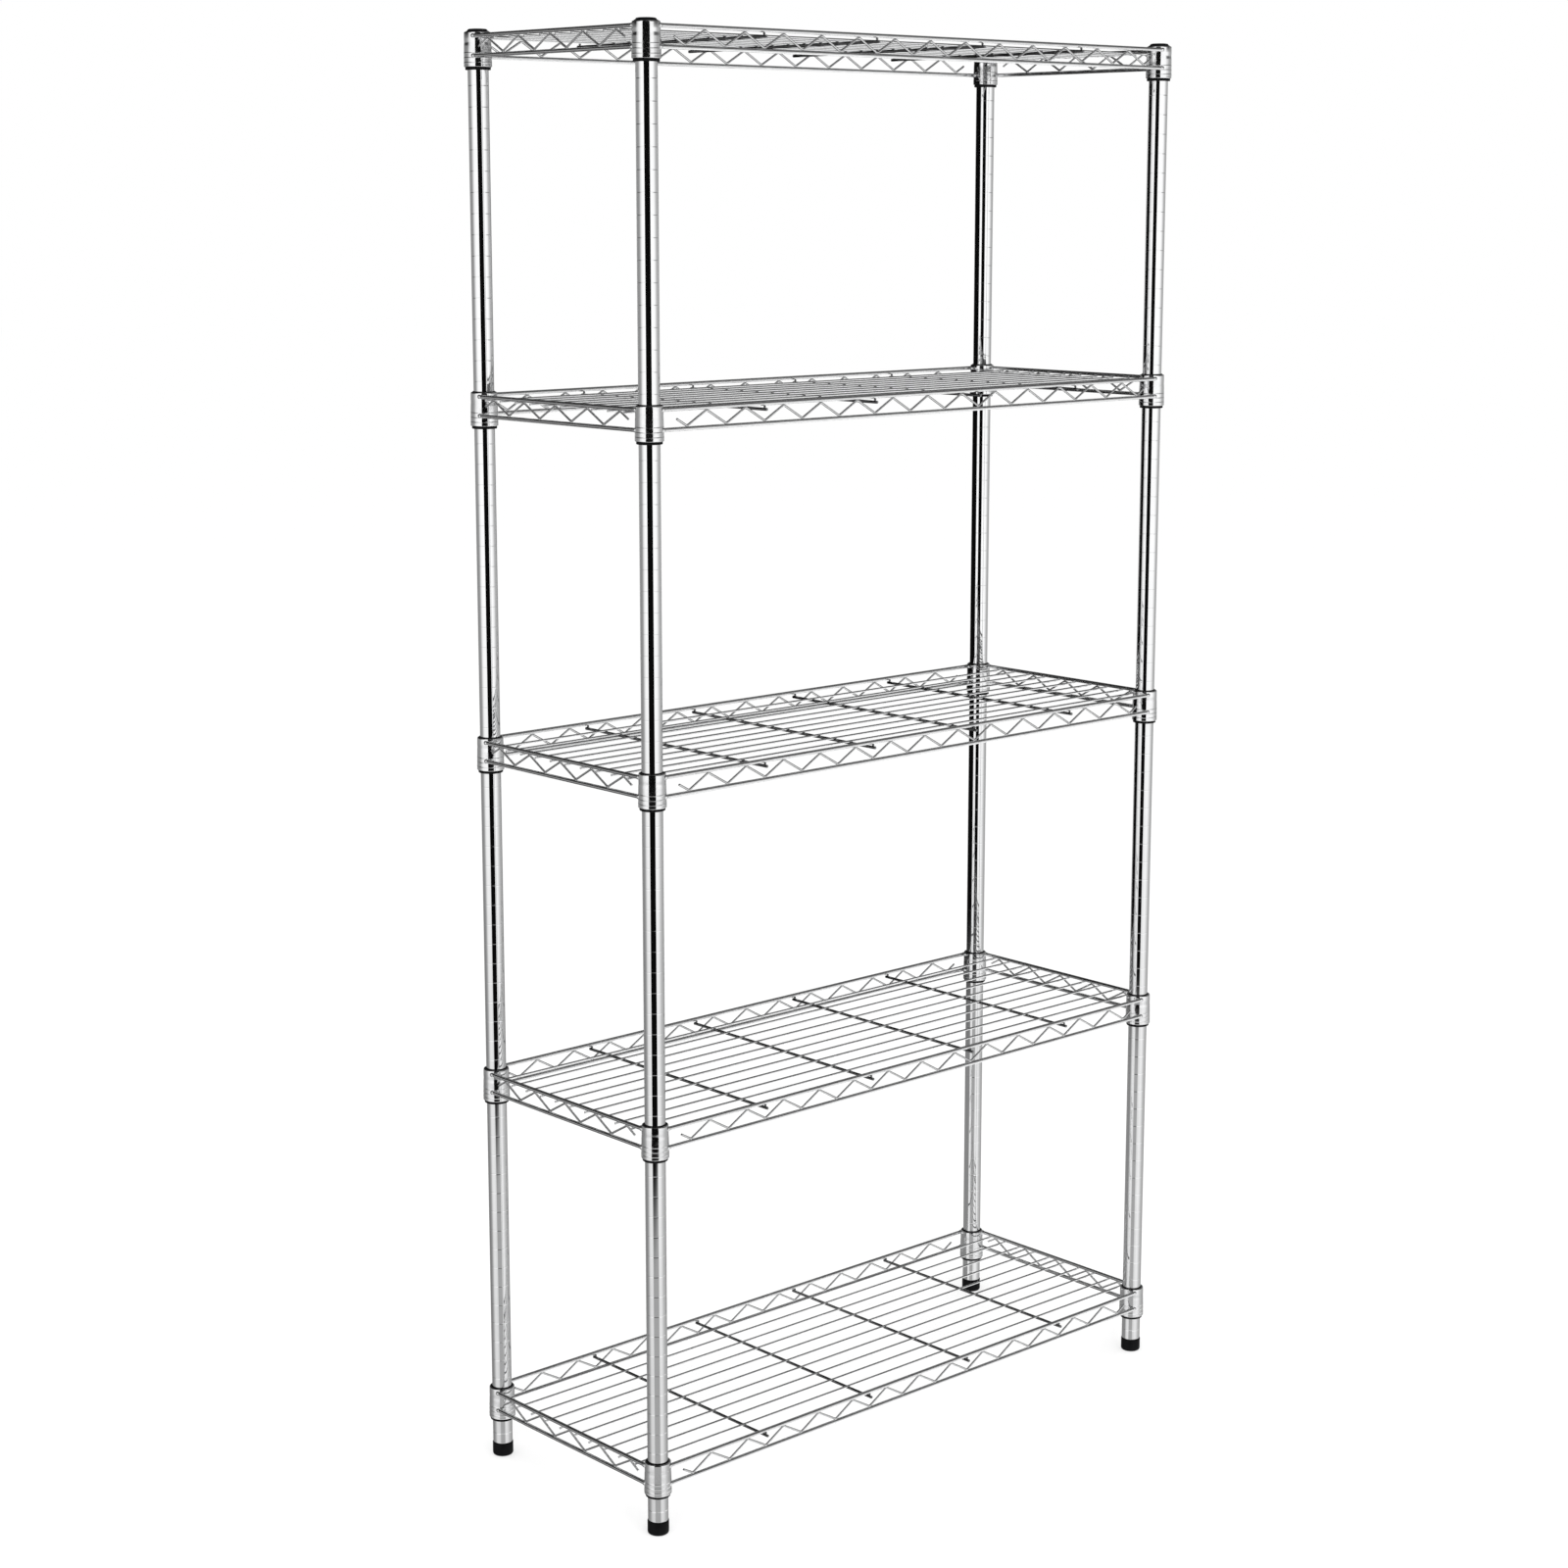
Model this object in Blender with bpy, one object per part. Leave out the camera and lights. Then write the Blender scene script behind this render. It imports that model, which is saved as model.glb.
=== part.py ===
# A five-tier wire shelving rack, standing on the floor.
# Metres, +Z up. The origin is on the floor, midway between the four posts.
# X runs along the shelves, and -Y is the front long side.

import math

import bmesh
import bpy
from mathutils import Vector

MM = 0.001

# Driving dimensions
SHELF_COUNT = 5
SHELF_PITCH = 431.8 * MM  # 17 in, seventeen grooves of the post
SHELF_1_BASE = 53.0 * MM  # lower rim of the lowest collars
POST_SPACING_X = 882.0 * MM  # between post centres
POST_SPACING_Y = 318.0 * MM
POST_RADIUS = 12.7 * MM  # 1 in tube
POST_WALL = 1.2 * MM
SECTION_LENGTH = 901.7 * MM  # two sections make a post
FOOT_HEIGHT = 18.0 * MM
FIT_GAP = 0.3 * MM  # between pieces that touch

# Round pieces share one number of sides, so that their flats nest.
ROUND_SIDES = 12
STUD_SIDES = 8
RAIL_SIDES = 6
WIRE_SIDES = 4

# Post ends
SEAM_HEIGHT = FOOT_HEIGHT + SECTION_LENGTH
POST_TOP = SEAM_HEIGHT + SECTION_LENGTH
BORE_RADIUS = POST_RADIUS - POST_WALL
PLUG_RADIUS = BORE_RADIUS - FIT_GAP
JOINER_LENGTH = 70.0 * MM
JOINER_CHAMFER = 2.0 * MM
CAP_PLUG_DEPTH = 15.0 * MM
CAP_RISE = 4.0 * MM
CAP_RADIUS = 12.3 * MM
CAP_ROUNDING = 1.6 * MM

# Levelling feet
FOOT_RADIUS = 13.4 * MM
FOOT_ROUNDING = 1.8 * MM
STUD_RADIUS = 4.0 * MM  # M8
STUD_BASE = 5.0 * MM  # floor of the blind hole in the foot
STUD_TOP = 53.0 * MM
INSERT_LENGTH = 22.0 * MM
INSERT_LIP = 1.0 * MM

# Collars and sleeves, both wider at the bottom. Heights are from the collar's lower rim.
COLLAR_HEIGHT = 41.5 * MM
SLEEVE_BOTTOM = -3.5 * MM  # shows as a black ring under the collar
SLEEVE_TOP = COLLAR_HEIGHT + 1.0 * MM
SLEEVE_RADIUS_BOTTOM = 15.5 * MM
SLEEVE_RADIUS_TOP = 13.9 * MM
COLLAR_RADIUS_BOTTOM = 17.0 * MM
COLLAR_RADIUS_TOP = 16.3 * MM
COLLAR_RIM = 1.8 * MM  # rounding of its upper edge
SPLIT_WIDTH = 1.0 * MM
TONGUE_BOTTOM = 16.0 * MM
TONGUE_TOP = 26.0 * MM

# Wires of a shelf
RAIL_RADIUS = 2.5 * MM
RAIL_OFFSET = 13.0 * MM  # outward from the line of the post centres
RAIL_END = 10.4 * MM  # short of the post's centre, so that it ends in the collar's wall
BOTTOM_RAIL_HEIGHT = 13.0 * MM
TOP_RAIL_HEIGHT = 36.5 * MM
TRUSS_RADIUS = 1.4 * MM
TRUSS_HALF_PITCH = 30.4 * MM
TRUSS_BENDS_LONG = 13  # each way from the middle peak
TRUSS_BENDS_SHORT = 4
WELD_EVERY = 3  # every third bend is drawn fused to its rail, the others just touch
WELD_DEPTH = 0.5 * MM
DECK_RADIUS = 1.4 * MM
DECK_COUNT = 10
DECK_SPACING = 29.6 * MM
CROSS_RADIUS = 1.9 * MM
CROSS_COUNT = 4
CROSS_SPACING = 6 * TRUSS_HALF_PITCH
WIRE_OVERHANG = 4.0 * MM  # past the middle of the rail that carries a wire's end

CORNERS = {
    "front_left": (-1, -1),
    "front_right": (1, -1),
    "back_left": (-1, 1),
    "back_right": (1, 1),
}


def make_material(name, colour, roughness, metallic):
    material = bpy.data.materials.new(name)
    material.use_nodes = True
    shader = material.node_tree.nodes["Principled BSDF"]
    shader.inputs["Base Color"].default_value = (*colour, 1.0)
    shader.inputs["Roughness"].default_value = roughness
    shader.inputs["Metallic"].default_value = metallic
    material.diffuse_color = (*colour, 1.0)
    return material


def finished_mesh(name, bm):
    bmesh.ops.recalc_face_normals(bm, faces=bm.faces)
    mesh = bpy.data.meshes.new(name)
    bm.to_mesh(mesh)
    bm.free()
    mesh.shade_smooth()
    mesh.set_sharp_from_angle(angle=math.radians(40))
    return mesh


def add_turned(bm, profile, sides, centre=(0.0, 0.0, 0.0)):
    # Spins an outline of (radius, height) points about Z. An outline with its ends on the
    # axis makes a solid piece, and any other is closed into a ring.
    centre = Vector(centre)
    points = [bm.verts.new(centre + Vector((radius, 0.0, height))) for radius, height in profile]
    solid = profile[0][0] == 0.0 and profile[-1][0] == 0.0
    followers = points[1:] if solid else points[1:] + points[:1]
    edges = [bm.edges.new(pair) for pair in zip(points, followers)]
    bmesh.ops.spin(
        bm,
        geom=points + edges,
        cent=centre,
        axis=(0.0, 0.0, 1.0),
        angle=2 * math.pi,
        steps=sides,
        use_merge=True,
    )
    bmesh.ops.remove_doubles(bm, verts=bm.verts, dist=0.001 * MM)


def turned_mesh(name, profile, sides=ROUND_SIDES):
    bm = bmesh.new()
    add_turned(bm, profile, sides)
    return finished_mesh(name, bm)


def add_wire(bm, path, radius, sides, square_to):
    # Sweeps a wire along straight runs in one plane, mitred where they meet. square_to is
    # the direction square to that plane.
    points = [Vector(point) for point in path]
    side = Vector(square_to)
    rings = []
    for index, point in enumerate(points):
        before = point - points[max(index - 1, 0)]
        after = points[min(index + 1, len(points) - 1)] - point
        run = (after if after.length else before).normalized()
        ahead = (before.normalized() + after.normalized()).normalized()
        across = side.cross(ahead) / ahead.dot(run)
        ring = []
        for step in range(sides):
            turn = math.pi / 2 + step * 2 * math.pi / sides
            spoke = side * math.cos(turn) + across * math.sin(turn)
            ring.append(bm.verts.new(point + radius * spoke))
        rings.append(ring)
    for ring, following in zip(rings, rings[1:]):
        for step in range(sides):
            beyond = (step + 1) % sides
            bm.faces.new((ring[step], ring[beyond], following[beyond], following[step]))
    bm.faces.new(rings[0])
    bm.faces.new(rings[-1])


def add_box(bm, low, high):
    made = bmesh.ops.create_cube(bm, size=1.0)
    for vertex in made["verts"]:
        vertex.co = Vector(
            (a if share < 0 else b) for share, a, b in zip(vertex.co, low, high)
        )


def combined(name, body, other, operation):
    # One mesh from two by a Boolean, with the overlaps inside each of them fused as well.
    holder = bpy.data.objects.new(name, body)
    tool = bpy.data.objects.new(name + "_tool", other)
    for made in (holder, tool):
        bpy.context.scene.collection.objects.link(made)
    boolean = holder.modifiers.new("combine", "BOOLEAN")
    boolean.operation = operation
    boolean.solver = "EXACT"
    boolean.use_self = operation == "UNION"
    boolean.object = tool
    graph = bpy.context.evaluated_depsgraph_get()
    mesh = bpy.data.meshes.new_from_object(holder.evaluated_get(graph))
    for made in (holder, tool):
        bpy.data.objects.remove(made)
    mesh.name = name
    mesh.shade_smooth()
    mesh.set_sharp_from_angle(angle=math.radians(40))
    return mesh


def tube_mesh(length):
    return turned_mesh(
        "post_section",
        [(BORE_RADIUS, 0.0), (POST_RADIUS, 0.0), (POST_RADIUS, length), (BORE_RADIUS, length)],
    )


def joiner_mesh():
    neck = PLUG_RADIUS - JOINER_CHAMFER / 2
    end = JOINER_LENGTH / 2
    return turned_mesh(
        "post_joiner",
        [
            (0.0, -end),
            (neck, -end),
            (PLUG_RADIUS, JOINER_CHAMFER - end),
            (PLUG_RADIUS, end - JOINER_CHAMFER),
            (neck, end),
            (0.0, end),
        ],
    )


def cap_mesh():
    # Heights are from the end of the tube.
    return turned_mesh(
        "post_cap",
        [
            (0.0, -CAP_PLUG_DEPTH),
            (PLUG_RADIUS, -CAP_PLUG_DEPTH),
            (PLUG_RADIUS, FIT_GAP),
            (CAP_RADIUS, FIT_GAP),
            (CAP_RADIUS, CAP_RISE - CAP_ROUNDING),
            (CAP_RADIUS - CAP_ROUNDING, CAP_RISE),
            (0.0, CAP_RISE),
        ],
    )


def foot_mesh():
    hole = STUD_RADIUS + FIT_GAP
    return turned_mesh(
        "foot_pad",
        [
            (0.0, 0.0),
            (FOOT_RADIUS - FOOT_ROUNDING, 0.0),
            (FOOT_RADIUS, FOOT_ROUNDING),
            (FOOT_RADIUS, FOOT_HEIGHT - FIT_GAP),
            (hole, FOOT_HEIGHT - FIT_GAP),
            (hole, STUD_BASE),
            (0.0, STUD_BASE),
        ],
    )


def stud_mesh():
    bottom = STUD_BASE + FIT_GAP
    return turned_mesh(
        "foot_stem",
        [(0.0, bottom), (STUD_RADIUS, bottom), (STUD_RADIUS, STUD_TOP), (0.0, STUD_TOP)],
        STUD_SIDES,
    )


def insert_mesh():
    # Its bore is the stud's thread. Heights are from the end of the tube.
    bore = STUD_RADIUS + FIT_GAP
    return turned_mesh(
        "foot_insert",
        [
            (bore, FIT_GAP),
            (PLUG_RADIUS, FIT_GAP),
            (PLUG_RADIUS, INSERT_LENGTH - INSERT_LIP),
            (PLUG_RADIUS - INSERT_LIP, INSERT_LENGTH),
            (bore, INSERT_LENGTH),
        ],
    )


def sleeve_mesh():
    # Two half shells round the post, split at the front and the back and held by a tongue.
    bore = POST_RADIUS + FIT_GAP
    ring = turned_mesh(
        "sleeve",
        [
            (bore, SLEEVE_BOTTOM),
            (SLEEVE_RADIUS_BOTTOM, SLEEVE_BOTTOM),
            (SLEEVE_RADIUS_TOP, SLEEVE_TOP),
            (bore, SLEEVE_TOP),
        ],
    )
    bm = bmesh.new()
    beyond = 2 * SLEEVE_RADIUS_BOTTOM
    for side in (-1, 1):
        near, far = sorted((side * POST_RADIUS / 2, side * beyond))
        for bottom, top in ((-beyond, TONGUE_BOTTOM), (TONGUE_TOP, SLEEVE_TOP + beyond)):
            add_box(bm, (-SPLIT_WIDTH / 2, near, bottom), (SPLIT_WIDTH / 2, far, top))
    return combined("split_sleeve", ring, finished_mesh("splits", bm), "DIFFERENCE")


def collar_profile():
    return [
        (SLEEVE_RADIUS_BOTTOM + FIT_GAP, 0.0),
        (COLLAR_RADIUS_BOTTOM, 0.0),
        (COLLAR_RADIUS_TOP, COLLAR_HEIGHT - COLLAR_RIM),
        (COLLAR_RADIUS_TOP - COLLAR_RIM / 2, COLLAR_HEIGHT),
        (SLEEVE_RADIUS_TOP + FIT_GAP, COLLAR_HEIGHT),
    ]


def truss_path(bends):
    # (along, height) points of a zigzag with a peak in its middle, which touches the rails at
    # each bend. Its ends run on half way to the rail that a next bend would reach.
    top = TOP_RAIL_HEIGHT - RAIL_RADIUS - TRUSS_RADIUS
    bottom = BOTTOM_RAIL_HEIGHT + RAIL_RADIUS + TRUSS_RADIUS
    slope = math.atan2(top - bottom, TRUSS_HALF_PITCH)
    mitre = TRUSS_RADIUS * (1 / math.cos(slope) - 1)
    path = []
    for bend in range(-bends, bends + 1):
        reach = WELD_DEPTH if bend % WELD_EVERY == 0 else -FIT_GAP
        height = top - mitre + reach if bend % 2 == 0 else bottom + mitre - reach
        path.append((bend * TRUSS_HALF_PITCH, height))
    end = (bends + 0.5) * TRUSS_HALF_PITCH
    middle = (top + bottom) / 2
    return [(-end, middle), *path, (end, middle)]


def frame_mesh():
    # Four collars, eight rails and four truss wires, welded into one piece.
    half_x, half_y = POST_SPACING_X / 2, POST_SPACING_Y / 2
    line_x, line_y = half_x + RAIL_OFFSET, half_y + RAIL_OFFSET
    rails = bmesh.new()
    trusses = bmesh.new()
    for side in (-1, 1):
        for height in (BOTTOM_RAIL_HEIGHT, TOP_RAIL_HEIGHT):
            end_x, end_y = half_x - RAIL_END, half_y - RAIL_END
            long_rail = [(-end_x, side * line_y, height), (end_x, side * line_y, height)]
            short_rail = [(side * line_x, -end_y, height), (side * line_x, end_y, height)]
            add_wire(rails, long_rail, RAIL_RADIUS, RAIL_SIDES, (0, 1, 0))
            add_wire(rails, short_rail, RAIL_RADIUS, RAIL_SIDES, (1, 0, 0))
        long_truss = [(along, side * line_y, height) for along, height in truss_path(TRUSS_BENDS_LONG)]
        short_truss = [(side * line_x, along, height) for along, height in truss_path(TRUSS_BENDS_SHORT)]
        add_wire(trusses, long_truss, TRUSS_RADIUS, WIRE_SIDES, (0, 1, 0))
        add_wire(trusses, short_truss, TRUSS_RADIUS, WIRE_SIDES, (1, 0, 0))
        for other in (-1, 1):
            add_turned(trusses, collar_profile(), ROUND_SIDES, (side * half_x, other * half_y, 0.0))
    return combined(
        "shelf_frame", finished_mesh("rails", rails), finished_mesh("trusses", trusses), "UNION"
    )


def spread(count, spacing):
    return [(index - (count - 1) / 2) * spacing for index in range(count)]


def deck_mesh():
    # Deck wires under the end rails, on cross wires that they are welded to.
    deck_height = TOP_RAIL_HEIGHT - RAIL_RADIUS - FIT_GAP - DECK_RADIUS
    cross_height = deck_height - DECK_RADIUS - CROSS_RADIUS + WELD_DEPTH
    end_x = POST_SPACING_X / 2 + RAIL_OFFSET + WIRE_OVERHANG
    end_y = POST_SPACING_Y / 2 + RAIL_OFFSET + WIRE_OVERHANG
    deck = bmesh.new()
    for y in spread(DECK_COUNT, DECK_SPACING):
        run = [(-end_x, y, deck_height), (end_x, y, deck_height)]
        add_wire(deck, run, DECK_RADIUS, WIRE_SIDES, (0, 1, 0))
    cross = bmesh.new()
    for x in spread(CROSS_COUNT, CROSS_SPACING):
        run = [(x, -end_y, cross_height), (x, end_y, cross_height)]
        add_wire(cross, run, CROSS_RADIUS, WIRE_SIDES, (1, 0, 0))
    return combined(
        "shelf_deck", finished_mesh("deck_wires", deck), finished_mesh("cross_wires", cross), "UNION"
    )


def add_empty(name, location):
    empty = bpy.data.objects.new(name, None)
    empty.location = location
    bpy.context.scene.collection.objects.link(empty)
    return empty


def add_piece(name, mesh, material, parent, height=0.0):
    # The copies of a piece share its mesh, and so its material.
    piece = bpy.data.objects.new(name, mesh)
    piece.parent = parent
    piece.location = (0.0, 0.0, height)
    if not mesh.materials:
        mesh.materials.append(material)
    bpy.context.scene.collection.objects.link(piece)
    return piece


def build():
    for leftover in list(bpy.data.objects):
        bpy.data.objects.remove(leftover)

    chrome_tube = make_material("chrome_tube", (0.82, 0.83, 0.85), 0.08, 1.0)
    chrome_wire = make_material("chrome_wire", (0.76, 0.77, 0.79), 0.14, 1.0)
    black_plastic = make_material("black_plastic", (0.02, 0.02, 0.022), 0.42, 0.0)
    zinc_steel = make_material("zinc_steel", (0.62, 0.63, 0.64), 0.35, 1.0)

    section, joiner, cap = tube_mesh(SECTION_LENGTH), joiner_mesh(), cap_mesh()
    # The upper section stands on the lower one, with the fit's gap between them.
    upper_section = tube_mesh(SECTION_LENGTH - FIT_GAP)
    foot, stud, insert, sleeve = foot_mesh(), stud_mesh(), insert_mesh(), sleeve_mesh()
    for corner, (side_x, side_y) in CORNERS.items():
        place = (side_x * POST_SPACING_X / 2, side_y * POST_SPACING_Y / 2, 0.0)
        post = add_empty("post_" + corner, place)
        add_piece("post_lower_" + corner, section, chrome_tube, post, FOOT_HEIGHT)
        add_piece("post_upper_" + corner, upper_section, chrome_tube, post, SEAM_HEIGHT + FIT_GAP)
        add_piece("post_joiner_" + corner, joiner, zinc_steel, post, SEAM_HEIGHT)
        add_piece("post_cap_" + corner, cap, black_plastic, post, POST_TOP)
        add_piece("foot_insert_" + corner, insert, zinc_steel, post, FOOT_HEIGHT)
        add_piece("foot_stem_" + corner, stud, zinc_steel, post)
        add_piece("foot_pad_" + corner, foot, black_plastic, post)
        for number in range(SHELF_COUNT):
            height = SHELF_1_BASE + number * SHELF_PITCH
            add_piece(f"shelf_{number + 1}_clip_{corner}", sleeve, black_plastic, post, height)

    frame, deck = frame_mesh(), deck_mesh()
    for number in range(SHELF_COUNT):
        height = SHELF_1_BASE + number * SHELF_PITCH
        shelf = add_empty(f"shelf_{number + 1}", (0.0, 0.0, height))
        add_piece(f"shelf_{number + 1}_frame", frame, chrome_wire, shelf)
        add_piece(f"shelf_{number + 1}_deck", deck, chrome_wire, shelf)


build()
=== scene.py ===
import math

import bmesh
import bpy
from mathutils import Matrix, Vector


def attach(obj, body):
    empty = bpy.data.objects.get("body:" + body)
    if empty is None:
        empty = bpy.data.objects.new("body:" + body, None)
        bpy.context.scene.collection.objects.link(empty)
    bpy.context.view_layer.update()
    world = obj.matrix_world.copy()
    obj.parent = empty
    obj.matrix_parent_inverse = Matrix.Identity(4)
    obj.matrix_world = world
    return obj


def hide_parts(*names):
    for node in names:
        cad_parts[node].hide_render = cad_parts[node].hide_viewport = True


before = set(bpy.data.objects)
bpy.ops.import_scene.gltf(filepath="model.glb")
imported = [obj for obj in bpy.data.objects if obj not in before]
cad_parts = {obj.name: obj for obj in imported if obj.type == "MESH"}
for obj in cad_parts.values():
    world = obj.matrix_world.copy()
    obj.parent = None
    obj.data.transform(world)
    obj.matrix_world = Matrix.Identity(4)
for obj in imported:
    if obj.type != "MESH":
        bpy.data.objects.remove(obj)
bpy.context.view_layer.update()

mm = 0.001
corners = {
    "front_left": (-1, -1),
    "front_right": (1, -1),
    "back_left": (-1, 1),
    "back_right": (1, 1),
}
rack = {
    "shelves": 5,
    "pitch": 431.8 * mm,
    "firstShelf": 53 * mm,  # lower rim of the lowest collars
    "halfX": 441 * mm,  # from the middle to a post's centre
    "halfY": 159 * mm,
    "footTop": 18 * mm,
    "seam": 919.7 * mm,  # where the two post sections meet
    "postTop": 1821.4 * mm,
    "fitGap": 0.3 * mm,
}


def finishMesh(name, bm, sharpAngle=38):
    bmesh.ops.recalc_face_normals(bm, faces=bm.faces)
    mesh = bpy.data.meshes.new(name)
    bm.to_mesh(mesh)
    bm.free()
    mesh.shade_smooth()
    mesh.set_sharp_from_angle(angle=math.radians(sharpAngle))
    return mesh


def addSpun(bm, outline, sides, centre=(0, 0, 0), ring=False, arc=None):
    # outline holds (radius, height) points; arc is (from, to) in degrees for part of a turn
    centre = Vector(centre)
    start, end = (math.radians(a) for a in (arc or (0, 360)))
    count = sides if arc is None else sides + 1
    rings = []
    for radius, height in outline:
        if radius == 0:
            rings.append([bm.verts.new(centre + Vector((0, 0, height)))])
            continue
        turns = [start + (end - start) * step / sides for step in range(count)]
        rings.append([
            bm.verts.new(centre + Vector((radius * math.cos(t), radius * math.sin(t), height)))
            for t in turns
        ])
    pairs = list(zip(rings, rings[1:])) + ([(rings[-1], rings[0])] if ring else [])
    for lower, upper in pairs:
        for step in range(sides):
            after = (step + 1) % count
            loop = [lower[step % len(lower)], lower[after % len(lower)],
                    upper[after % len(upper)], upper[step % len(upper)]]
            bm.faces.new(list(dict.fromkeys(loop)))
    if arc is not None and ring:
        bm.faces.new([points[0] for points in rings])
        bm.faces.new([points[-1] for points in rings])


# the smaller ring past each end of a wire, in shares of its radius, so that a cut end looks worn
wireEnd = {"reach": 0.225, "radius": 0.72}


def addWire(bm, path, radius, sides, squareTo):
    # sweeps a wire along a path in one plane; squareTo is square to that plane
    points = [Vector(point) for point in path]
    side = Vector(squareTo).normalized()
    rings = []
    for index, point in enumerate(points):
        before = point - points[max(index - 1, 0)]
        after = points[min(index + 1, len(points) - 1)] - point
        run = (after if after.length else before).normalized()
        ahead = (before.normalized() + after.normalized()).normalized()
        rings.append((point, side.cross(ahead) / ahead.dot(run), radius))
    reach, small = radius * wireEnd["reach"], radius * wireEnd["radius"]
    start = points[0] + (points[0] - points[1]).normalized() * reach
    end = points[-1] + (points[-1] - points[-2]).normalized() * reach
    rings = [(start, rings[0][1], small), *rings, (end, rings[-1][1], small)]
    turns = [2 * math.pi * step / sides for step in range(sides)]
    made = [
        [bm.verts.new(point + size * (side * math.cos(t) + across * math.sin(t))) for t in turns]
        for point, across, size in rings
    ]
    for ring, following in zip(made, made[1:]):
        for step in range(sides):
            after = (step + 1) % sides
            bm.faces.new((ring[step], ring[after], following[after], following[step]))
    bm.faces.new(made[0])
    bm.faces.new(made[-1])


def addBead(bm, centre, size, detail=1):
    # a blob of weld metal; size is its half length each way
    place = Matrix.Translation(Vector(centre)) @ Matrix.Diagonal((*size, 1))
    bmesh.ops.create_icosphere(bm, subdivisions=detail, radius=1, matrix=place)


def roundedPath(points, bend, steps):
    # replaces each corner of a flat path by an arc of radius bend
    points = [Vector(point) for point in points]
    path = [points[0]]
    for before, corner, after in zip(points, points[1:], points[2:]):
        back, ahead = (before - corner).normalized(), (after - corner).normalized()
        half = back.angle(ahead) / 2
        reach = bend / math.tan(half)
        middle = corner + (back + ahead).normalized() * bend / math.sin(half)
        start, end = corner + back * reach - middle, corner + ahead * reach - middle
        for step in range(steps + 1):
            spoke = start.lerp(end, step / steps).normalized() * bend
            path.append(middle + spoke)
    path.append(points[-1])
    return path


def newGroup(name, inputs, outputs):
    # inputs are {name: default}, outputs are {name: socket type}
    group = bpy.data.node_groups.new(name, "ShaderNodeTree")
    for label, value in inputs.items():
        socket = group.interface.new_socket(label, in_out="INPUT", socket_type="NodeSocketFloat")
        socket.default_value = value
    for label, kind in outputs.items():
        group.interface.new_socket(label, in_out="OUTPUT", socket_type=kind)
    nodes = group.nodes
    return group, nodes.new("NodeGroupInput"), nodes.new("NodeGroupOutput")


def addNode(tree, kind, links=None, **settings):
    # links are {input name or number: value or output socket}
    node = tree.nodes.new(kind)
    for key, value in settings.items():
        setattr(node, key, value)
    for key, value in (links or {}).items():
        if isinstance(value, bpy.types.NodeSocket):
            tree.links.new(value, node.inputs[key])
        else:
            node.inputs[key].default_value = value
    return node


def makePlatingWaves():
    # height of a plated surface: slow ripples from forming and a fine orange peel
    group, given, out = newGroup(
        "platingWaves",
        {"Ripple": 0.5, "Ripple Scale": 30, "Peel": 0.1, "Peel Scale": 900},
        {"Height": "NodeSocketFloat"},
    )
    place = addNode(group, "ShaderNodeTexCoord").outputs["Object"]
    ripple = addNode(group, "ShaderNodeTexNoise", {
        "Vector": place, "Scale": given.outputs["Ripple Scale"], "Detail": 1.5, "Roughness": 0.4})
    peel = addNode(group, "ShaderNodeTexNoise", {
        "Vector": place, "Scale": given.outputs["Peel Scale"], "Detail": 2.0, "Roughness": 0.6})
    slow = addNode(group, "ShaderNodeMath", {
        0: ripple.outputs["Fac"], 1: given.outputs["Ripple"]}, operation="MULTIPLY")
    fine = addNode(group, "ShaderNodeMath", {
        0: peel.outputs["Fac"], 1: given.outputs["Peel"]}, operation="MULTIPLY")
    both = addNode(group, "ShaderNodeMath", {
        0: slow.outputs[0], 1: fine.outputs[0]}, operation="ADD")
    group.links.new(both.outputs[0], out.inputs["Height"])
    return group


# the stretch of each noise that becomes a mark, and the squeeze that draws hairlines out along z
handlingMarks = {
    "smear": (0.45, 0.75),
    "hairline": (0.55, 0.8),
    "squeeze": (1.0, 1.0, 0.08),
}


def makeHandling():
    # faint smears and hairlines: a mask of the smears, and a roughness that both raise
    group, given, out = newGroup(
        "handling",
        {"Roughness": 0.1, "Smear": 0.06, "Smear Scale": 14, "Hairline": 0.05,
         "Hairline Scale": 420},
        {"Roughness": "NodeSocketFloat", "Mask": "NodeSocketFloat"},
    )
    place = addNode(group, "ShaderNodeTexCoord").outputs["Object"]
    smear = addNode(group, "ShaderNodeTexNoise", {
        "Vector": place, "Scale": given.outputs["Smear Scale"], "Detail": 4.0, "Roughness": 0.6,
        "Distortion": 0.6})
    low, high = handlingMarks["smear"]
    smearMask = addNode(group, "ShaderNodeMapRange", {
        "Value": smear.outputs["Fac"], "From Min": low, "From Max": high})
    stretched = addNode(group, "ShaderNodeMapping", {
        "Vector": place, "Scale": handlingMarks["squeeze"]})
    hair = addNode(group, "ShaderNodeTexNoise", {
        "Vector": stretched.outputs[0], "Scale": given.outputs["Hairline Scale"], "Detail": 3.0})
    low, high = handlingMarks["hairline"]
    hairMask = addNode(group, "ShaderNodeMapRange", {
        "Value": hair.outputs["Fac"], "From Min": low, "From Max": high})
    raised = addNode(group, "ShaderNodeMath", {
        0: smearMask.outputs[0], 1: given.outputs["Smear"], 2: given.outputs["Roughness"]},
        operation="MULTIPLY_ADD")
    total = addNode(group, "ShaderNodeMath", {
        0: hairMask.outputs[0], 1: given.outputs["Hairline"], 2: raised.outputs[0]},
        operation="MULTIPLY_ADD")
    group.links.new(total.outputs[0], out.inputs["Roughness"])
    group.links.new(smearMask.outputs[0], out.inputs["Mask"])
    return group


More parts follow.
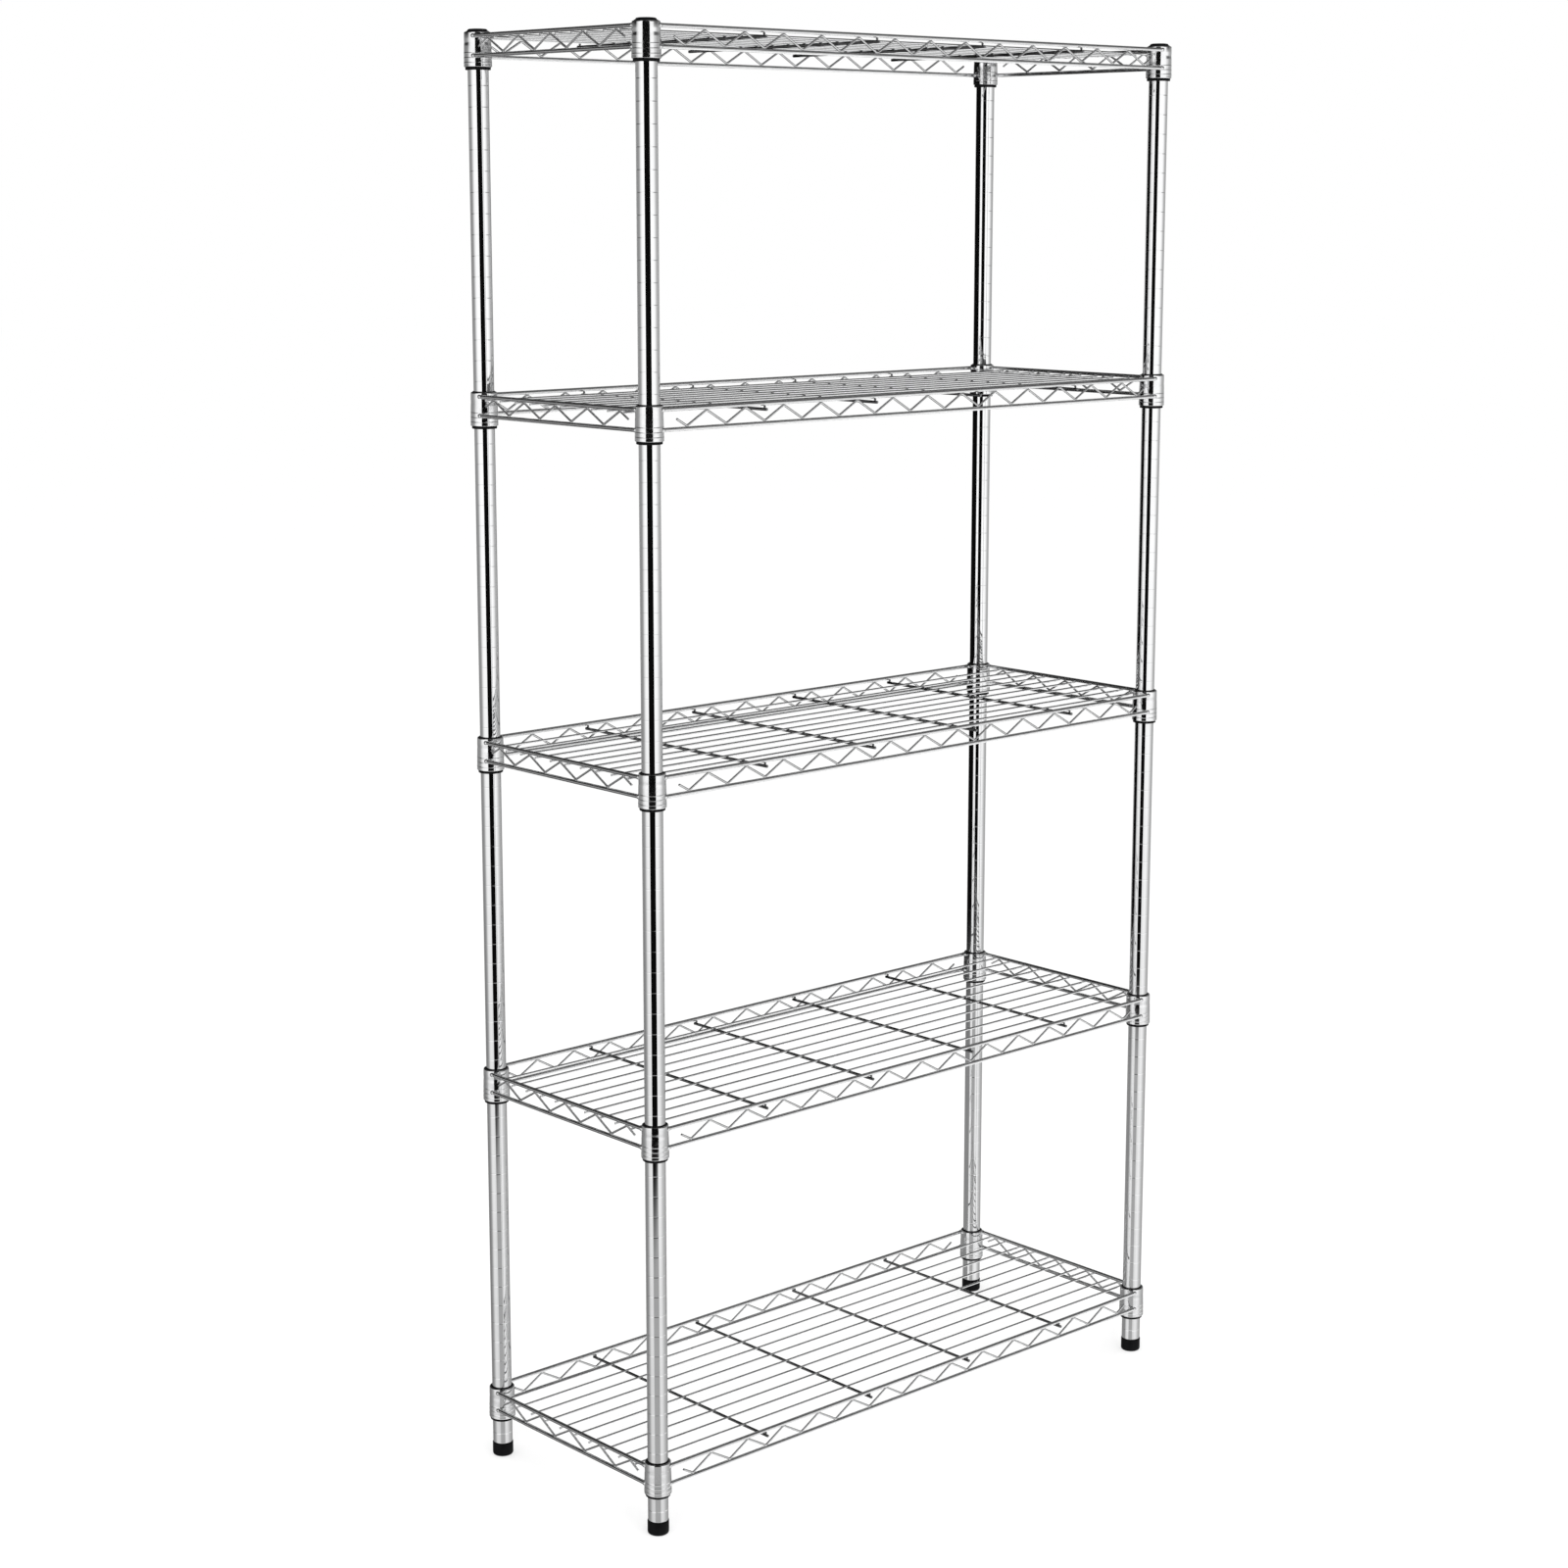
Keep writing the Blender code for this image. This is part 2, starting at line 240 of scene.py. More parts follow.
def makeMouldGrain():
    # the sparked grain of a plastic mould
    group, given, out = newGroup(
        "mouldGrain", {"Grain Scale": 1600, "Depth": 1.0}, {"Height": "NodeSocketFloat"})
    place = addNode(group, "ShaderNodeTexCoord").outputs["Object"]
    grain = addNode(group, "ShaderNodeTexVoronoi", {
        "Vector": place, "Scale": given.outputs["Grain Scale"]}, feature="SMOOTH_F1")
    height = addNode(group, "ShaderNodeMath", {
        0: grain.outputs["Distance"], 1: given.outputs["Depth"]}, operation="MULTIPLY")
    group.links.new(height.outputs[0], out.inputs["Height"])
    return group


platingWaves = makePlatingWaves()
handling = makeHandling()
mouldGrain = makeMouldGrain()


def placeGroup(tree, group, values):
    node = addNode(tree, "ShaderNodeGroup", node_tree=group)
    for label, value in values.items():
        node.inputs[label].default_value = value
    return node


def makePlating(name, look):
    material = bpy.data.materials.new(name)
    material.use_nodes = True
    tree = material.node_tree
    shader = tree.nodes["Principled BSDF"]
    shader.inputs["Metallic"].default_value = 1.0
    waves = placeGroup(tree, platingWaves, look["waves"])
    wear = placeGroup(tree, handling, look["handling"])
    bump = addNode(tree, "ShaderNodeBump", {
        "Height": waves.outputs["Height"], "Strength": look["bump"], "Distance": look["depth"]})
    tint = addNode(tree, "ShaderNodeMix", {
        "Factor": wear.outputs["Mask"], "A": (*look["colour"], 1), "B": (*look["smeared"], 1)},
        data_type="RGBA")
    tree.links.new(tint.outputs["Result"], shader.inputs["Base Color"])
    tree.links.new(wear.outputs["Roughness"], shader.inputs["Roughness"])
    tree.links.new(bump.outputs["Normal"], shader.inputs["Normal"])
    return material


def makePlastic(name, look):
    material = bpy.data.materials.new(name)
    material.use_nodes = True
    tree = material.node_tree
    shader = tree.nodes["Principled BSDF"]
    shader.inputs["Specular IOR Level"].default_value = look["specular"]
    grain = placeGroup(tree, mouldGrain, look["grain"])
    wear = placeGroup(tree, handling, look["handling"])
    bump = addNode(tree, "ShaderNodeBump", {
        "Height": grain.outputs["Height"], "Strength": look["bump"], "Distance": look["depth"]})
    tint = addNode(tree, "ShaderNodeMix", {
        "Factor": wear.outputs["Mask"], "A": (*look["colour"], 1), "B": (*look["dusty"], 1)},
        data_type="RGBA")
    tree.links.new(tint.outputs["Result"], shader.inputs["Base Color"])
    tree.links.new(wear.outputs["Roughness"], shader.inputs["Roughness"])
    tree.links.new(bump.outputs["Normal"], shader.inputs["Normal"])
    return material


tubeChromeLook = {
    "colour": (0.90, 0.903, 0.908),
    "smeared": (0.85, 0.853, 0.858),
    "bump": 0.08,
    "depth": 0.04 * mm,
    "waves": {"Ripple": 1.0, "Ripple Scale": 34, "Peel": 0.01, "Peel Scale": 900},
    "handling": {"Roughness": 0.025, "Smear": 0.03, "Smear Scale": 12, "Hairline": 0.02,
                 "Hairline Scale": 380},
}
wireChromeLook = {
    "colour": (0.88, 0.883, 0.888),
    "smeared": (0.80, 0.803, 0.808),
    "bump": 0.35,
    "depth": 0.06 * mm,
    "waves": {"Ripple": 1.0, "Ripple Scale": 90, "Peel": 0.1, "Peel Scale": 1400},
    "handling": {"Roughness": 0.2, "Smear": 0.06, "Smear Scale": 30, "Hairline": 0.03,
                 "Hairline Scale": 500},
}
crossChromePaintedDarkLook = {  # the same chrome as the other wires, painted darker: a painted dark reflection, so that these read dark on a pale ground
    "colour": (0.30, 0.302, 0.305),
    "smeared": (0.25, 0.252, 0.255),
    "bump": 0.35,
    "depth": 0.06 * mm,
    "waves": {"Ripple": 1.0, "Ripple Scale": 90, "Peel": 0.1, "Peel Scale": 1400},
    "handling": {"Roughness": 0.16, "Smear": 0.1, "Smear Scale": 30, "Hairline": 0.04,
                 "Hairline Scale": 500},
}
collarChromeLook = {
    "colour": (0.88, 0.883, 0.888),
    "smeared": (0.80, 0.803, 0.808),
    "bump": 0.5,
    "depth": 0.08 * mm,
    "waves": {"Ripple": 1.0, "Ripple Scale": 70, "Peel": 0.12, "Peel Scale": 900},
    "handling": {"Roughness": 0.08, "Smear": 0.12, "Smear Scale": 90, "Hairline": 0.03,
                 "Hairline Scale": 400},
}
zincLook = {
    "colour": (0.60, 0.61, 0.62),
    "smeared": (0.50, 0.51, 0.50),
    "bump": 0.4,
    "depth": 0.05 * mm,
    "waves": {"Ripple": 0.6, "Ripple Scale": 160, "Peel": 0.4, "Peel Scale": 2200},
    "handling": {"Roughness": 0.28, "Smear": 0.12, "Smear Scale": 60, "Hairline": 0.05,
                 "Hairline Scale": 600},
}
plasticLook = {
    "colour": (0.004, 0.004, 0.0045),
    "dusty": (0.008, 0.008, 0.0085),
    "specular": 0.07,
    "bump": 0.3,
    "depth": 0.03 * mm,
    "grain": {"Grain Scale": 1500, "Depth": 1.0},
    "handling": {"Roughness": 0.42, "Smear": 0.12, "Smear Scale": 60, "Hairline": 0.03,
                 "Hairline Scale": 500},
}
tubeChrome = makePlating("tubeChrome", tubeChromeLook)
wireChrome = makePlating("wireChrome", wireChromeLook)
# the cross wires' chrome has a painted dark reflection in its colour, darker than the other wires
crossChromePaintedDark = makePlating("crossWireChromePaintedDark", crossChromePaintedDarkLook)
collarChrome = makePlating("collarChrome", collarChromeLook)
zincSteel = makePlating("zincSteel", zincLook)
blackPlastic = makePlastic("blackPlastic", plasticLook)
print("materials made")


def addPiece(name, mesh, material, place, body, slot, *nodes):
    piece = bpy.data.objects.new(name, mesh)
    if not mesh.materials:
        mesh.materials.append(material)
    piece.location = place
    bpy.context.scene.collection.objects.link(piece)
    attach(piece, body)
    if nodes:
        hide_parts(*nodes)
    return piece


def postPlace(corner, height=0.0):
    sideX, sideY = corners[corner]
    return (sideX * rack["halfX"], sideY * rack["halfY"], height)


def shelfBase(number):
    return rack["firstShelf"] + (number - 1) * rack["pitch"]


straightEdge = 0.3 * mm  # how far a plain ring stands from a bend in a turned wall

postTube = {
    "radius": 12.7 * mm,
    "wall": 1.2 * mm,
    "sides": 48,
    "groovePitch": 25.4 * mm,
    "grooveWidth": 1.5 * mm,
    "grooveDepth": 0.09 * mm,
    "firstGroove": 13.4 * mm,  # above the section's lower end
    "grooveSteps": 6,
    "endRounding": 0.35 * mm,
    "sharpAngle": 60,
}


def wave(height, half, rise, steps):
    # (rise, height) points of one smooth ring, with a plain one each side to keep the wall straight
    points = [(0.0, height - half - straightEdge)]
    for step in range(steps + 1):
        along = 2 * step / steps - 1
        points.append((rise * (1 + math.cos(math.pi * along)) / 2, height + along * half))
    return points + [(0.0, height + half + straightEdge)]


def tubeMesh(name, length, firstGroove):
    look = postTube
    radius, bore = look["radius"], look["radius"] - look["wall"]
    half, edge = look["grooveWidth"] / 2, look["endRounding"]
    outline = [(bore, 0.0), (radius - edge, 0.0), (radius, edge), (radius, edge + straightEdge)]
    height = firstGroove
    while height < length - 2 * look["grooveWidth"]:
        groove = wave(height, half, -look["grooveDepth"], look["grooveSteps"])
        outline += [(radius + rise, at) for rise, at in groove]
        height += look["groovePitch"]
    outline += [
        (radius, length - edge - straightEdge), (radius, length - edge), (radius - edge, length),
        (bore, length)]
    bm = bmesh.new()
    addSpun(bm, outline, look["sides"], ring=True)
    return finishMesh(name, bm, look["sharpAngle"])


lowerLength = rack["seam"] - rack["footTop"]
upperLength = lowerLength - rack["fitGap"]
grooveOver = (lowerLength - postTube["firstGroove"]) % postTube["groovePitch"]
lowerTube = tubeMesh("lowerTube", lowerLength, postTube["firstGroove"])
upperTube = tubeMesh(
    "upperTube", upperLength, postTube["groovePitch"] - grooveOver - rack["fitGap"])

postCap = {
    "radius": 12.3 * mm,
    "rise": 4.0 * mm,
    # up the rounded top: (distance in from the rim, share of the rise)
    "dome": ((0, 0.42), (0.15 * mm, 0.56), (0.5 * mm, 0.70), (1.1 * mm, 0.83), (2.2 * mm, 0.92),
             (4.5 * mm, 0.975)),
    "plugRadius": 11.2 * mm,
    "plugDepth": 15 * mm,
    "plugChamfer": 1 * mm,
    "sides": 48,
}


def capMesh():
    look = postCap
    radius, rise, gap = look["radius"], look["rise"], rack["fitGap"]
    plug, depth, chamfer = look["plugRadius"], look["plugDepth"], look["plugChamfer"]
    outline = [
        (0, -depth), (plug - chamfer, -depth), (plug, chamfer - depth), (plug, gap), (radius, gap)]
    outline += [(radius - inset, rise * share) for inset, share in look["dome"]]
    outline.append((0, rise))
    bm = bmesh.new()
    addSpun(bm, outline, look["sides"])
    return finishMesh("capMesh", bm)


capShape = capMesh()
for corner in corners:
    addPiece(f"lowerPost_{corner}", lowerTube, tubeChrome, postPlace(corner, rack["footTop"]),
             "posts", "chrome_tube", f"post_lower_{corner}")
    addPiece(f"upperPost_{corner}", upperTube, tubeChrome,
             postPlace(corner, rack["seam"] + rack["fitGap"]),
             "posts", "chrome_tube", f"post_upper_{corner}")
    addPiece(f"cap_{corner}", capShape, blackPlastic, postPlace(corner, rack["postTop"]),
             "posts", "black_plastic", f"post_cap_{corner}")
    for hidden in ("post_joiner", "foot_insert"):  # inside the tube, so the plain solids stay
        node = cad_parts[f"{hidden}_{corner}"]
        for slot in node.material_slots:
            slot.material = zincSteel
print("posts made")


foot = {
    "radius": 13.4 * mm,
    "height": 17.7 * mm,
    "sides": 48,
    "hollow": (8.5 * mm, 9.3 * mm, 0.5 * mm),  # underneath: radius of its floor and mouth, depth
    # (distance in from the side, height) round the lower edge
    "lowerEdge": ((2.6 * mm, 0), (1.5 * mm, 0.35 * mm), (0.6 * mm, 1.1 * mm), (0.1 * mm, 2.2 * mm),
                  (0, 3.2 * mm)),
    # (distance in from the side, distance down from the top) round the upper edge
    "upperEdge": ((0, 1.0 * mm), (0.25 * mm, 0.35 * mm), (0.8 * mm, 0)),
    "hole": 4.3 * mm,
    "holeChamfer": 0.5 * mm,
    "holeFloor": 5 * mm,
}
stud = {
    "radius": 4.0 * mm,
    "bottom": 5.3 * mm,
    "top": 53 * mm,
    "sides": 20,
    "thread": 1.25 * mm,
    "threadDepth": 0.5 * mm,
    "ringsPerTurn": 5,
    "runOut": 2 * mm,  # the length at each end where the thread fades
    "endTaper": 0.4 * mm,
    "sharpAngle": 70,
}


def footMesh():
    look = foot
    radius, height, hole = look["radius"], look["height"], look["hole"]
    floor, mouth, depth = look["hollow"]
    outline = [(0, depth), (floor, depth), (mouth, 0)]
    outline += [(radius - inset, at) for inset, at in look["lowerEdge"]]
    outline += [(radius - inset, height - down) for inset, down in look["upperEdge"]]
    outline += [
        (hole + look["holeChamfer"], height), (hole, height - look["holeChamfer"]),
        (hole, look["holeFloor"]), (0, look["holeFloor"])]
    bm = bmesh.new()
    addSpun(bm, outline, look["sides"])
    return finishMesh("footMesh", bm)


def studMesh():
    # a right-hand thread: each point's radius follows from its height and its turn
    look = stud
    sides, bottom, top = look["sides"], look["bottom"], look["top"]
    steps = round((top - bottom) / look["thread"] * look["ringsPerTurn"])
    bm = bmesh.new()
    rings = []
    for step in range(steps + 1):
        height = bottom + (top - bottom) * step / steps
        fade = min(1.0, (top - height) / look["runOut"], (height - bottom) / look["runOut"])
        ring = []
        for side in range(sides):
            turn = side / sides
            phase = (height / look["thread"] - turn) % 1.0
            root = abs(2 * phase - 1)  # 0 at the crest
            cut = look["threadDepth"] * root * fade + look["endTaper"] * (1 - fade)
            radius = look["radius"] - cut
            angle = 2 * math.pi * turn
            ring.append(bm.verts.new((radius * math.cos(angle), radius * math.sin(angle), height)))
        rings.append(ring)
    for ring, following in zip(rings, rings[1:]):
        for side in range(sides):
            after = (side + 1) % sides
            bm.faces.new((ring[side], ring[after], following[after], following[side]))
    bm.faces.new(rings[0])
    bm.faces.new(rings[-1])
    return finishMesh("studMesh", bm, look["sharpAngle"])


footShape, studShape = footMesh(), studMesh()
for corner in corners:
    addPiece(f"foot_{corner}", footShape, blackPlastic, postPlace(corner), f"foot_pad_{corner}",
             "black_plastic", f"foot_pad_{corner}")
    addPiece(f"stud_{corner}", studShape, zincSteel, postPlace(corner), f"foot_stem_{corner}",
             "zinc_steel", f"foot_stem_{corner}")
print("feet made")


# the split sleeves that the shelves hang on
sleeve = {
    "bottom": -3.5 * mm,
    "top": 42.5 * mm,
    "bore": 13.0 * mm,
    "outerBottom": 15.5 * mm,
    "outerTop": 13.9 * mm,
    "rounding": 0.35 * mm,
    "footRounding": 0.9 * mm,
    "steps": 4,  # in the lower rounding and across each line
    "lines": (10 * mm, 31 * mm),  # heights of two moulded lines round the outside
    "lineHalf": 0.8 * mm,
    "lineDepth": 0.25 * mm,
    "split": 2.0,  # degrees each side of the split's middle
    "sides": 22,  # in each half
    "tongue": (16 * mm, 26 * mm),  # lower and upper end of the tongue across the split
    "tongueStand": 0.1 * mm,  # how much farther out it lies than the wall's upper end
    "tongueHalf": 6,  # degrees each side of the split's middle
}


def sleeveMesh():
    look = sleeve
    edge, bottom, top = look["rounding"], look["bottom"], look["top"]
    slope = (look["outerBottom"] - look["outerTop"]) / (top - bottom)
    outline = [(look["bore"], bottom)]
    low = look["footRounding"]
    for step in range(look["steps"] + 1):
        turn = math.radians(90 * step / look["steps"])
        outline.append((
            look["outerBottom"] - low * (1 - math.sin(turn)), bottom + low * (1 - math.cos(turn))))
    outline.append((look["outerBottom"], bottom + low + straightEdge))
    for height in look["lines"]:
        radius = look["outerBottom"] - slope * (height - bottom)
        line = wave(height, look["lineHalf"], -look["lineDepth"], look["steps"])
        outline += [(radius + rise, at) for rise, at in line]
    outline += [
        (look["outerTop"], top - edge), (look["outerTop"] - edge, top), (look["bore"], top)]
    bm = bmesh.new()
    for turn in (0, 180):
        arc = (turn - 90 + look["split"], turn + 90 - look["split"])
        addSpun(bm, outline, look["sides"], ring=True, arc=arc)
    start, end = look["tongue"]
    inner, outer = look["bore"] + look["tongueStand"], look["outerTop"] + look["tongueStand"]
    tongue = [(inner, start), (outer, start), (outer, end), (inner, end)]
    for middle in (-90, 90):
        arc = (middle - look["tongueHalf"], middle + look["tongueHalf"])
        addSpun(bm, tongue, 2, ring=True, arc=arc)
    return finishMesh("sleeveMesh", bm)


sleeveShape = sleeveMesh()
for number in range(1, rack["shelves"] + 1):
    for corner in corners:
        addPiece(f"sleeve_{number}_{corner}", sleeveShape, blackPlastic,
                 postPlace(corner, shelfBase(number)),
                 "posts", "black_plastic", f"shelf_{number}_clip_{corner}")
print("sleeves made")


collar = {
    "height": 41.5 * mm,
    "outerBottom": 17.0 * mm,
    "outerTop": 16.3 * mm,
    "boreBottom": 15.8 * mm,
    "boreTop": 14.2 * mm,
    "topRounding": 1.5 * mm,
    "footRounding": 0.7 * mm,
    "roundingSteps": 4,
    "ridges": (4.8 * mm, 10.5 * mm, 16.3 * mm),  # heights of faint rings round the collar
    "ridgeRise": 0.22 * mm,
    "ridgeHalf": 0.75 * mm,
    "ridgeSteps": 8,
    "dent": (29 * mm, 4.5 * mm, 0.18 * mm),  # height, half length and depth of a faint waist
    "dentSteps": 10,
    "sides": 64,
}
wires = {
    "railRadius": 2.5 * mm,
    "railOffset": 13 * mm,
    "railEnd": 10.4 * mm,
    "railSides": 14,
    "bottomRail": 13 * mm,
    "topRail": 36.5 * mm,
    "trussRadius": 1.4 * mm,
    "halfPitch": 30.4 * mm,
    "bendsLong": 13,
    "bendsShort": 4,
    "bendRadius": 4.2 * mm,
    "bendSteps": 5,
    "trussSink": 0.25 * mm,  # how far a bend is sunk into its rail
    "wireSides": 10,
    "deckRadius": 1.4 * mm,
    "deckCount": 10,
    "deckSpacing": 29.6 * mm,
    "deckHeight": 32.6 * mm,
    "crossRadius": 1.9 * mm,
    "crossCount": 4,
    "crossHeight": 29.5 * mm,
    "overhang": 4 * mm,
}
# beads of weld, by their half lengths along the rail, across it and up
beads = {
    "rail": (3.4 * mm, 1.7 * mm, 2.7 * mm),
    "railInset": 9.4 * mm,  # along the rail, from the post's centre
    "railOffset": 14.4 * mm,  # out from the post's centre
    "truss": (2.6 * mm, 1.5 * mm, 0.9 * mm),
    "trussRise": 1.15 * mm,  # from the bend towards its rail
    "cross": (1.5 * mm, 1.7 * mm, 1.5 * mm),
    "crossHeight": 32.7 * mm,
}
# the long sides run along x, the short ones along y
shelfSides = [
    {"alongX": True, "half": rack["halfX"], "across": rack["halfY"], "bends": wires["bendsLong"]},
    {"alongX": False, "half": rack["halfY"], "across": rack["halfX"], "bends": wires["bendsShort"]},
]


def collarMesh():
    look = collar
    height, bottom, top = look["height"], look["outerBottom"], look["outerTop"]
    slope = (bottom - top) / height
    steps = look["roundingSteps"]
    quarter = [math.radians(90 * step / steps) for step in range(steps + 1)]
    low, high = look["footRounding"], look["topRounding"]
    outline = [(look["boreBottom"], 0.0)]
    outline += [(bottom - low * (1 - math.sin(t)), low * (1 - math.cos(t))) for t in quarter]
    outline.append((bottom - slope * (low + straightEdge), low + straightEdge))
    rings = [
        (middle, look["ridgeHalf"], look["ridgeRise"], look["ridgeSteps"])
        for middle in look["ridges"]]
    middle, half, depth = look["dent"]
    rings.append((middle, half, -depth, look["dentSteps"]))
    for ring in rings:
        outline += [(bottom - slope * at + rise, at) for rise, at in wave(*ring)]
    outline.append((top + slope * (high + straightEdge), height - high - straightEdge))
    outline += [(top - high * (1 - math.cos(t)), height - high * (1 - math.sin(t))) for t in quarter]
    outline.append((look["boreTop"], height))
    bm = bmesh.new()
    for sideX, sideY in corners.values():
        place = (sideX * rack["halfX"], sideY * rack["halfY"], 0)
        addSpun(bm, outline, look["sides"], place, ring=True)
    return finishMesh("collarMesh", bm)


def turned(alongX, along, across, up):
    # a side's own directions as x, y and z
    return (along, across, up) if alongX else (across, along, up)


def railMesh():
    look = wires
    bm = bmesh.new()
    for run in shelfSides:
        alongX, half, across = run["alongX"], run["half"], run["across"]
        end, line = half - look["railEnd"], across + look["railOffset"]
        weldAlong, weldAcross = half - beads["railInset"], across + beads["railOffset"]
        for side in (-1, 1):
            for height in (look["bottomRail"], look["topRail"]):
                path = [turned(alongX, at, side * line, height) for at in (-end, end)]
                addWire(bm, path, look["railRadius"], look["railSides"], turned(alongX, 0, 1, 0))
                for at in (-weldAlong, weldAlong):  # fillets of weld against the collars
                    addBead(bm, turned(alongX, at, side * weldAcross, height),
                            turned(alongX, *beads["rail"]), 2)
    return finishMesh("railMesh", bm)


def trussPoints(bends):
    # flat (along, height) points of the zigzag, with its peak in the middle, and where each bend
    # touches: (along, height, 1 below the upper rail or -1 above the lower one)
    look = wires
    top = look["topRail"] - look["railRadius"] - look["trussRadius"] + look["trussSink"]
    bottom = look["bottomRail"] + look["railRadius"] + look["trussRadius"] - look["trussSink"]
    slope = math.atan2(top - bottom, look["halfPitch"])
    cut = look["bendRadius"] * (1 / math.cos(slope) - 1)  # what the arc takes off a corner
    points, touching = [], []
    for bend in range(-bends, bends + 1):
        along = bend * look["halfPitch"]
        height, toRail = (top, 1) if bend % 2 == 0 else (bottom, -1)
        points.append((along, height + toRail * cut, 0))
        touching.append((along, height, toRail))
    end = (bends + 0.5) * look["halfPitch"]
    middle = (top + bottom) / 2
    return [(-end, middle, 0), *points, (end, middle, 0)], touching


def trussMesh():
    look = wires
    bm = bmesh.new()
    for run in shelfSides:
        alongX, line = run["alongX"], run["across"] + look["railOffset"]
        points, touching = trussPoints(run["bends"])
        flat = roundedPath(points, look["bendRadius"], look["bendSteps"])
        for side in (-1, 1):
            path = [turned(alongX, point.x, side * line, point.y) for point in flat]
            addWire(bm, path, look["trussRadius"], look["wireSides"], turned(alongX, 0, 1, 0))
            for along, height, toRail in touching:
                up = height + toRail * beads["trussRise"]
                addBead(bm, turned(alongX, along, side * line, up), turned(alongX, *beads["truss"]))
    return finishMesh("trussMesh", bm)


def spread(count, spacing):
    return [(index - (count - 1) / 2) * spacing for index in range(count)]


def deckMesh():
    look = wires
    end = rack["halfX"] + look["railOffset"] + look["overhang"]
    bm = bmesh.new()
    for y in spread(look["deckCount"], look["deckSpacing"]):
        addWire(bm, [(-end, y, look["deckHeight"]), (end, y, look["deckHeight"])],
                look["deckRadius"], look["wireSides"], (0, 1, 0))
    return finishMesh("deckMesh", bm)


def crossMesh():
    look = wires
    end = rack["halfY"] + look["railOffset"] + look["overhang"]
    bm = bmesh.new()
    for x in spread(look["crossCount"], 6 * look["halfPitch"]):
        addWire(bm, [(x, -end, look["crossHeight"]), (x, end, look["crossHeight"])],
                look["crossRadius"], look["wireSides"], (1, 0, 0))
        for side in (-1, 1):
            line = side * (rack["halfY"] + look["railOffset"])
            addBead(bm, (x, line, beads["crossHeight"]), beads["cross"], 2)
    return finishMesh("crossMesh", bm)


shelfShapes = {
    "collars": (collarMesh(), collarChrome),
    "rails": (railMesh(), wireChrome),
    "truss": (trussMesh(), wireChrome),
    "deckWires": (deckMesh(), wireChrome),
    # the cross wires carry the chrome with the painted dark reflection
    "crossWires": (crossMesh(), crossChromePaintedDark),
}
replaced = {"collars": "frame", "deckWires": "deck"}
for number in range(1, rack["shelves"] + 1):
    for kind, (mesh, material) in shelfShapes.items():
        nodes = [f"shelf_{number}_{replaced[kind]}"] if kind in replaced else []
        addPiece(f"shelf_{number}_{kind}", mesh, material, (0, 0, shelfBase(number)),
                 f"shelf_{number}", "chrome_wire", *nodes)
print("shelves made")


studio = {
    "lookAzimuth": -41.0,  # the photograph's side, in degrees
    "floorSize": 60.0,
    "diffuseLevel": 1.0,
    "lampSize": 3.0,
    "lampPower": 60.0,
    "lampPlace": (-0.8, -1.4, 3.6),
    "lampAim": (0, 0, 0.9),
    "floorGlow": 0.55,  # share of the floor's white that no shadow takes
}
# what reflections alone see round the rack, in belts: (degrees from the photograph's side,
# brightness). It is set for that side, and other light shows the metal plain
metalSees = {
    "atEyeLevel": [
        (-180, 0.34), (-140, 0.30), (-106, 0.30), (-88, 0.42), (-74, 0.85), (-55, 1.1), (-30, 1.12),
        (30, 1.12), (60, 1.12), (80, 0.95), (94, 0.60), (110, 0.46), (140, 0.42), (180, 0.40)],
    "aboveEyeLevel": [
        (-180, 0.02), (-86, 0.02), (-74, 0.6), (-55, 1.1), (50, 1.1), (60, 0.9), (69, 0.25),
        (78, 0.12), (95, 0.1), (112, 0.18), (180, 0.18)],
    "overhead": [
        (-180, 0.02), (-74, 0.02), (-60, 0.1), (-48, 0.9), (0, 1.0), (32, 0.9), (44, 0.08),
        (70, 0.05), (95, 0.08), (130, 0.12), (180, 0.1)],
    "zenith": [
        (-180, 0.02), (-60, 0.02), (0, 0.04), (60, 0.04), (90, 0.08), (130, 0.12), (180, 0.08)],
    "onTheFloor": [
        (-180, 0.28), (-150, 0.24), (-110, 0.24), (-88, 0.38), (-65, 0.82), (-45, 0.88), (-25, 0.8),
        (0, 0.7), (25, 0.85), (45, 0.95), (65, 0.85), (82, 0.6), (110, 0.46), (150, 0.36),
        (180, 0.34)],
    "lowFloor": [
        (-180, 0.28), (-150, 0.25), (-110, 0.25), (-88, 0.4), (-65, 0.66), (-45, 0.7), (-25, 0.62),
        (0, 0.5), (25, 0.66), (45, 0.76), (65, 0.76), (82, 0.6), (110, 0.42), (150, 0.34),
        (180, 0.3)],
    "underneath": [
        (-180, 0.04), (-86, 0.04), (-70, 0.8), (0, 0.98), (60, 0.95), (78, 0.6), (86, 0.35),
        (93, 1.0), (105, 1.25), (172, 1.25), (180, 0.7)],
}
# the upward part of the direction where each belt begins, and where it is full
beltHeights = {
    "aboveEyeLevel": (0.05, 0.12),
    "overhead": (0.24, 0.44),
    "zenith": (0.62, 0.76),
    "onTheFloor": (-0.12, -0.28),
    "lowFloor": (-0.33, -0.42),
    "underneath": (-0.44, -0.54),
}


def addRamp(tree, turn, levels):
    # a ramp round the horizon; turn is 0 to 1 from the photograph's side, and wraps
    ramp = addNode(tree, "ShaderNodeValToRGB", {"Fac": turn})
    ramp.color_ramp.interpolation = "EASE"
    stops = ramp.color_ramp.elements
    for degrees, level in levels:
        at = (degrees + 180) / 360
        stop = stops.new(at) if 0 < at < 1 else stops[0 if at <= 0 else -1]
        stop.position = at
        stop.color = (level, level, level, 1)
    return ramp.outputs["Color"]


